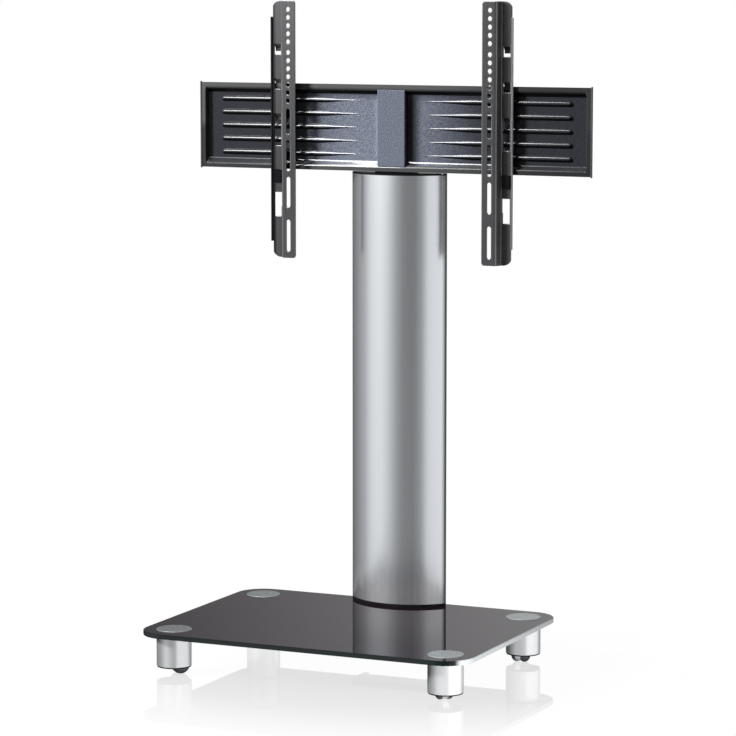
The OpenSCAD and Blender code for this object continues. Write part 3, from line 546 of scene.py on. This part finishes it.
class Shape(NodeWork):                  # a tree of geometry nodes with a named input for each size
    def __init__(self, name, sizes):
        super().__init__(bpy.data.node_groups.new(name, "GeometryNodeTree"))
        self.sizes, self.identifiers = sizes, {}
        sockets = self.tree.interface
        sockets.new_socket("Geometry", in_out="INPUT", socket_type="NodeSocketGeometry")
        for key in sizes:
            made = sockets.new_socket(key, in_out="INPUT", socket_type="NodeSocketFloat")
            self.identifiers[key] = made.identifier
        sockets.new_socket("Geometry", in_out="OUTPUT", socket_type="NodeSocketGeometry")
        self.given = self.tree.nodes.new("NodeGroupInput")

    def input(self, key):
        return Link(self, self.given.outputs[key])

    def make(self, piece, geometry, material):      # turns the piece into the plain mesh of this geometry
        realized = self.node("GeometryNodeRealizeInstances", inputs={0: geometry})
        painted = self.node("GeometryNodeSetMaterial", inputs={"Geometry": realized, "Material": material})
        out = self.tree.nodes.new("NodeGroupOutput")
        self.tree.links.new(painted.socket, out.inputs["Geometry"])
        modifier = piece.modifiers.new("shape", "NODES")
        modifier.node_group = self.tree
        for key, value in self.sizes.items():
            modifier[self.identifiers[key]] = value
        made = bpy.data.meshes.new_from_object(piece.evaluated_get(bpy.context.evaluated_depsgraph_get()))
        piece.modifiers.clear()
        piece.data = made
        for polygon in made.polygons:
            polygon.use_smooth = True


def pressed(g):                         # moves the flat sheet back into the pan and out over the ribs
    size = {key: g.input(key) for key in g.sizes}
    x, _, z = axes(g, g.node("GeometryNodeInputPosition"))
    fromMiddle, up = x.size(), z - size["Centre Z"]
    # depth of the pan, from the distance to its edge
    squash = size["End Run"] / size["Wall Run"]
    sideways = fromMiddle - (size["Opening Half Width"] - size["Corner"])
    upwards = (up.size() - size["Opening Half Height"]) * squash + size["Corner"]
    corner = (sideways.most(0).power(2) + upwards.most(0).power(2)).power(0.5)
    inside = (size["Corner"] - corner - sideways.most(upwards).least(0)) / size["End Run"]
    pan = inside.softMost(0, size["Bend"]).softLeast(1, size["Bend"]) * size["Pan Depth"]
    # height of the nearest rib over the floor
    row = (up / size["Rib Pitch"]).maths("ROUND").most(-outerRow).least(outerRow)
    off = up - row * size["Rib Pitch"]
    radius = ((fromMiddle - size["Rib Start"]) / size["Rib Taper"]).clamped() * size["Rib Radius"]
    past = (fromMiddle - size["Rib End"] + size["Rib Radius"]).most(0)
    radiusSquared = radius.power(2) - past.power(2)
    rise = (radiusSquared - off.power(2)).most(0).power(0.5) - size["Rib Sink"]
    rib = rise.softMost(0, size["Rib Root"])
    # low bead on each side of the window
    besides = (fromMiddle - size["Bead X"]).size()
    along = (up.size() - size["Bead Half Length"]).most(0)
    near = (besides.power(2) + along.power(2)) / size["Bead Radius"].power(2)
    bead = (1 - near).most(0) * size["Bead Height"]
    depth = size["Rim Y"] + pan - rib - bead
    return g.node("GeometryNodeSetPosition", inputs={
        "Geometry": g.input("Geometry"), "Offset": g.node("ShaderNodeCombineXYZ", inputs={1: depth})})


def makeTray(look, material):
    piece = flatSheet("pressedTray", look)
    g = Shape("pressSheet", look["press"])
    g.make(piece, pressed(g), material)
    piece.data.set_sharp_from_angle(angle=math.radians(look["sharpAngle"]))
    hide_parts("crossbar_tray")
    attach(piece, "stand")


rivetShape = {"places": [(x, z) for x in (-0.0608, 0.0608) for z in (-0.0446, 0.0446)],
              "segments": 24, "rings": 12,
              "size": {"Head Radius": 0.0030, "Front Y": 0.1694, "Back Y": 0.1752}}


def makeRivets(look, material):         # one flat dome on each place
    piece = newPiece("trayRivets", [(x, 0.0, z + crossbar["centreZ"]) for x, z in look["places"]], [])
    g = Shape("rivetRow", look["size"])
    radius, front, back = (g.input(key) for key in look["size"])
    dome = g.node("GeometryNodeMeshUVSphere", inputs={
        "Segments": look["segments"], "Rings": look["rings"], "Radius": 1.0})
    scale = g.node("ShaderNodeCombineXYZ", inputs={0: radius, 1: (back - front) / 2, 2: radius})
    middle = g.node("ShaderNodeCombineXYZ", inputs={1: (back + front) / 2})
    placed = g.node("GeometryNodeSetPosition", inputs={"Geometry": g.input("Geometry"), "Offset": middle})
    heads = g.node("GeometryNodeInstanceOnPoints", inputs={
        "Points": placed, "Instance": dome, "Scale": scale})
    g.make(piece, heads, material)
    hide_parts("tray_rivets")
    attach(piece, "stand")


trayMaterial = trayPaint()
makeTray(trayShape, trayMaterial)
makeRivets(rivetShape, trayMaterial)
print("tray done")

# light of the studio round the stand: the ambient level, and the walls and the ceiling that its gloss shows
studio = {
    "ambient": 0.055, "ceiling": 0.8, "overhead": (0.35, 0.65),
    # the walls fade downwards twice and once above the horizon: from, to, level before, level after
    "low": (-0.26, -0.12, 0.72, 1.0), "lowest": (-0.7, -0.35, 0.1, 1.0), "high": (0.02, 0.12, 1.0, 0.68),
    # level of the walls by the direction's turn from the left of the back
    "round": [(0.0, 0.55), (0.055, 0.96), (0.082, 0.16), (0.15, 0.08), (0.21, 0.22), (0.29, 0.46),
              (0.325, 0.84), (0.385, 1.0), (0.425, 0.78), (0.475, 0.36), (0.505, 0.22), (0.565, 0.19),
              (0.605, 0.38), (0.635, 0.94), (0.72, 1.0), (0.84, 0.95), (0.90, 0.40), (0.94, 0.12),
              (1.0, 0.40)]}


def makeWorld():
    world = bpy.data.worlds.new("studio")
    bpy.context.scene.world = world
    world.cycles.sampling_method = "NONE"
    s = Shader(world, "ShaderNodeOutputWorld")
    x, y, z = axes(s, s.node("ShaderNodeTexCoord", out="Generated"))
    turn = x.maths("ARCTAN2", y * -1) / (2 * math.pi) + 0.5
    walls = s.node("ShaderNodeValToRGB", {"stops": studio["round"]}, {0: turn})
    sides = walls * z.ramp(*studio["low"]) * z.ramp(*studio["lowest"]) * z.ramp(*studio["high"])
    up = z.ramp(*studio["overhead"])
    gloss = sides * (1 - up) + up * studio["ceiling"]
    white = ray(s, "Camera").most(ray(s, "Transmission")).most(ray(s, "Singular"))
    glossy = ray(s, "Glossy")
    hidden = glossy * gloss + (1 - glossy) * studio["ambient"]
    level = white + (1 - white) * hidden
    s.finish(s.node("ShaderNodeBackground", inputs={"Color": (1, 1, 1, 1), "Strength": level}))


# white floor with a faint shade and a faint mirror near the stand
floorLook = {"size": 60.0, "squash": 0.8, "reach": (0.62, 0.25), "shade": 0.03,
             "mirror": (-0.75, 0.0, 0.03, 0.26),
             "matt": (0.80, 0.81, 0.82, 1), "bounce": (0.20, 0.20, 0.20, 1)}


def makeFloor():
    bpy.ops.mesh.primitive_plane_add(size=floorLook["size"])
    floor = bpy.context.object
    floor.name = "studioFloor"
    s = newShader("studioFloor")
    x, y, _ = axes(s, position(s))
    near = ((x * floorLook["squash"]).power(2) + y.power(2)).power(0.5).ramp(*floorLook["reach"])
    white = s.node("ShaderNodeEmission", inputs={"Strength": 1.0})
    matt = s.node("ShaderNodeBsdfDiffuse", inputs={"Color": floorLook["matt"]})
    bounce = s.node("ShaderNodeBsdfDiffuse", inputs={"Color": floorLook["bounce"]})
    mirror = s.node("ShaderNodeBsdfGlossy", inputs={"Color": (1, 1, 1, 1), "Roughness": 0.0})
    shaded = blended(s, near * floorLook["shade"], white, matt)
    polished = blended(s, near * y.ramp(*floorLook["mirror"]), shaded, mirror)
    seen = blended(s, ray(s, "Camera").most(ray(s, "Transmission")), bounce, polished)
    clear = s.node("ShaderNodeBsdfTransparent")
    material = s.finish(blended(s, ray(s, "Glossy"), seen, clear))
    material.cycles.emission_sampling = "NONE"
    floor.data.materials.append(material)


lamps = {
    "keyLamp": {"at": (-4.70, -3.08, 3.05), "to": (0.0, 0.1, 0.75), "size": (1.25, 1.25), "power": 309.0,
                "spread": 120, "seenBy": "diffuse"},
    "ribBox": {"at": (-0.485, -0.50, 1.51), "to": (-0.075, 0.166, 0.88), "size": (0.50, 1.15), "power": 24.0,
               "spread": 170, "seenBy": "glossy"},
    "wallBox": {"at": (-0.43, 0.07, 1.50), "to": (-0.43, 0.07, 0.85), "size": (0.20, 0.14), "power": 1.0,
                "spread": 170, "seenBy": "glossy"},
    "baseLamp": {"at": (1.50, -1.25, 0.14), "to": (0.2, -0.05, 0.06), "size": (0.3, 0.3), "power": 2.6,
                 "spread": 40, "seenBy": "diffuse"}}


def aim(thing, look):
    thing.location = look["at"]
    thing.rotation_euler = (Vector(look["to"]) - Vector(look["at"])).to_track_quat("-Z", "Y").to_euler()


def makeLamps():
    for name, look in lamps.items():
        data = bpy.data.lights.new(name, "AREA")
        data.shape = "RECTANGLE"
        data.size, data.size_y = look["size"]
        data.energy = look["power"]
        data.spread = math.radians(look["spread"])
        lamp = added(name, data)
        aim(lamp, look)
        lamp.visible_camera = False
        lamp.visible_diffuse = look["seenBy"] == "diffuse"
        lamp.visible_glossy = look["seenBy"] == "glossy"


view = {"at": (2.1946, -4.7304, 1.1316), "to": (0.0319, 0.0001, 0.4965), "lens": 157.9, "sensor": 36.0}


def makeCamera():
    data = bpy.data.cameras.new("photoCamera")
    data.lens, data.sensor_width, data.sensor_fit = view["lens"], view["sensor"], "HORIZONTAL"
    camera = added("photoCamera", data)
    aim(camera, view)
    bpy.context.scene.camera = camera


makeWorld()
makeFloor()
makeLamps()
makeCamera()
bpy.context.scene.view_settings.view_transform = "Standard"
print("studio done")
